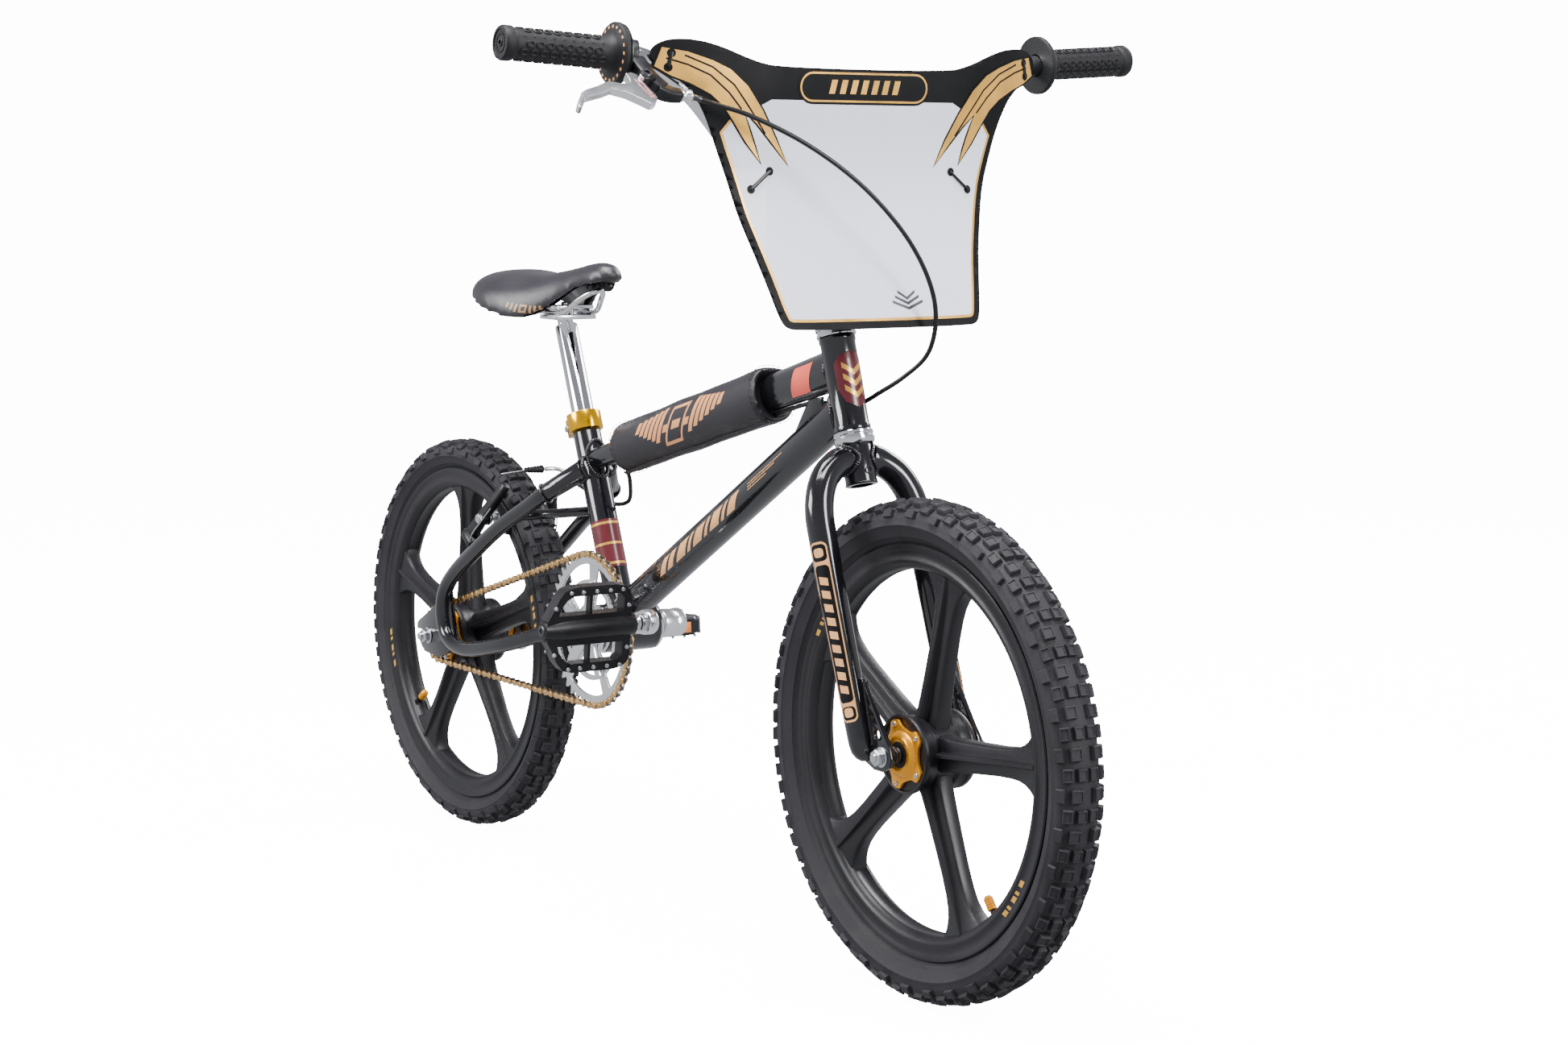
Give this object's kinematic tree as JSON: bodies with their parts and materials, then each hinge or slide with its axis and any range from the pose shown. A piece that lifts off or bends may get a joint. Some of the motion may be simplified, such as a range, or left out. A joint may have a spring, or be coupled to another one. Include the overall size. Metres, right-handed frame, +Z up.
{
  "type": "bmx bike",
  "caption": "Dirt-race bicycle with a looped rear frame, moulded spoke wheels, knobby tyres, tall handlebars, a bent number plate, a rear rim brake, a top-tube pad and platform pedals.",
  "frame": {"origin": "on the ground, below the middle of the whole bike's bounding box", "axes": "+X is forward, +Y is the rider's left, +Z is up"},
  "size_m": [1.49, 0.7798, 0.9823],
  "materials": {
    "frame_paint": "gloss black paint over aluminium tube",
    "chrome": "polished chrome plating",
    "gold_anodised": "bright gold anodised aluminium",
    "gold_chain": "pale gold plated steel",
    "pad_vinyl": "soft black vinyl with stitched seams",
    "saddle_vinyl": "smooth matt black vinyl",
    "silver_metal": "polished silver metal",
    "black_plastic": "black plastic",
    "black_metal": "satin black anodised metal",
    "grip_rubber": "soft black rubber",
    "plate_plastic": "printed plastic sheet, black border with a pale panel",
    "tyre_rubber": "black knobby tyre rubber",
    "wheel_nylon": "moulded glass-filled nylon, satin black"
  },
  "bodies": {
    "frame": {"head_tube": "frame_paint", "top_tube": "frame_paint", "down_tube": "frame_paint", "seat_tube": "frame_paint", "bottom_bracket_shell": "frame_paint", "loop_stay_right": "frame_paint", "loop_stay_left": "frame_paint", "brake_bridge": "frame_paint", "headset_cup_upper": "chrome", "headset_cup_lower": "chrome", "seat_clamp": "gold_anodised", "bottom_bracket_cup_right": "chrome", "bottom_bracket_cup_left": "chrome", "chain": "gold_chain", "top_tube_pad": "pad_vinyl", "rear_axle": "silver_metal", "rear_axle_nut_right": "silver_metal", "rear_axle_nut_left": "silver_metal", "brake_cable": "black_plastic"},
    "fork": {"steerer_tube": "frame_paint", "headset_locknut": "chrome", "fork_leg_right": "frame_paint", "fork_leg_left": "frame_paint", "stem": "frame_paint", "handlebar": "chrome", "grip_right": "grip_rubber", "grip_left": "grip_rubber", "brake_lever_bracket": "black_metal", "number_plate": "plate_plastic", "front_axle": "silver_metal", "front_axle_nut_right": "silver_metal", "front_axle_nut_left": "silver_metal"},
    "front_wheel": {"front_tyre": "tyre_rubber", "front_wheel": "wheel_nylon", "front_hub_flange_right": "gold_anodised", "front_hub_flange_left": "gold_anodised", "front_valve": "gold_anodised"},
    "rear_wheel": {"rear_tyre": "tyre_rubber", "rear_wheel": "wheel_nylon", "rear_hub_flange_right": "gold_anodised", "rear_hub_flange_left": "gold_anodised", "rear_valve": "gold_anodised"},
    "freewheel": {"freewheel": "silver_metal"},
    "crankset": {"bottom_bracket_spindle": "silver_metal", "crank_arm_right": "silver_metal", "crank_arm_left": "silver_metal", "chainring": "silver_metal", "pedal_axle_right": "silver_metal", "pedal_axle_left": "silver_metal"},
    "pedal_right": {"pedal_right": "black_metal"},
    "pedal_left": {"pedal_left": "black_metal"},
    "seat": {"seat_post": "chrome", "saddle_rails": "chrome", "saddle_base": "black_plastic", "saddle_cover": "saddle_vinyl"},
    "brake_lever": {"brake_lever": "silver_metal"},
    "brake_arm_right": {"brake_arm_right": "black_metal", "brake_pad_right": "grip_rubber"},
    "brake_arm_left": {"brake_arm_left": "black_metal", "brake_pad_left": "grip_rubber"}
  },
  "joints": [
    {"name": "steering", "type": "hinge", "parent": "frame", "child": "fork", "pos_m": [0.33402, 0, 0.62648], "axis": [-0.3024, 0, 0.9532], "range_deg": [-75, 75], "deforming": ["brake_cable"]},
    {"name": "front_wheel_spin", "type": "hinge", "parent": "fork", "child": "front_wheel", "pos_m": [0.489, 0, 0.256], "axis": [0, 1, 0], "continuous": true},
    {"name": "rear_wheel_spin", "type": "hinge", "parent": "frame", "child": "rear_wheel", "pos_m": [-0.498, 0, 0.247], "axis": [0, 1, 0], "continuous": true},
    {"name": "crank_spin", "type": "hinge", "parent": "frame", "child": "crankset", "pos_m": [-0.112, 0, 0.304], "axis": [0, 1, 0], "continuous": true},
    {"name": "freewheel_spin", "type": "hinge", "parent": "frame", "child": "freewheel", "pos_m": [-0.498, 0, 0.247], "axis": [0, 1, 0], "continuous": true},
    {"name": "pedal_right_spin", "type": "hinge", "parent": "crankset", "child": "pedal_right", "pos_m": [0.05967, 0, 0.33799], "axis": [0, 1, 0], "continuous": true},
    {"name": "pedal_left_spin", "type": "hinge", "parent": "crankset", "child": "pedal_left", "pos_m": [-0.28367, 0, 0.27001], "axis": [0, 1, 0], "continuous": true},
    {"name": "seat_post_height", "type": "slide", "parent": "frame", "child": "seat", "axis": [-0.3665, 0, 0.9304], "range_m": [-0.08, 0.04]},
    {"name": "brake_lever_pull", "type": "hinge", "parent": "fork", "child": "brake_lever", "pos_m": [0.359, -0.256, 0.924], "axis": [-0.6112, 0, -0.7915], "range_deg": [0, 24], "stiffness_Nm_per_rad": 0.4, "springref_deg": -5.73},
    {"name": "brake_arm_right_pivot", "type": "hinge", "parent": "frame", "child": "brake_arm_right", "pos_m": [-0.39404, -0.054, 0.38151], "axis": [-0.7912, 0, 0.6115], "range_deg": [0, 2.4]},
    {"name": "brake_arm_left_pivot", "type": "hinge", "parent": "frame", "child": "brake_arm_left", "pos_m": [-0.39404, 0.054, 0.38151], "axis": [0.7912, 0, -0.6115], "range_deg": [0, 2.4]}
  ],
  "couplings": [
    {"joint": "freewheel_spin", "follows": "crank_spin", "ratio": 2.75},
    {"joint": "brake_arm_right_pivot", "follows": "brake_lever_pull", "ratio": 0.1},
    {"joint": "brake_arm_left_pivot", "follows": "brake_lever_pull", "ratio": 0.1}
  ]
}
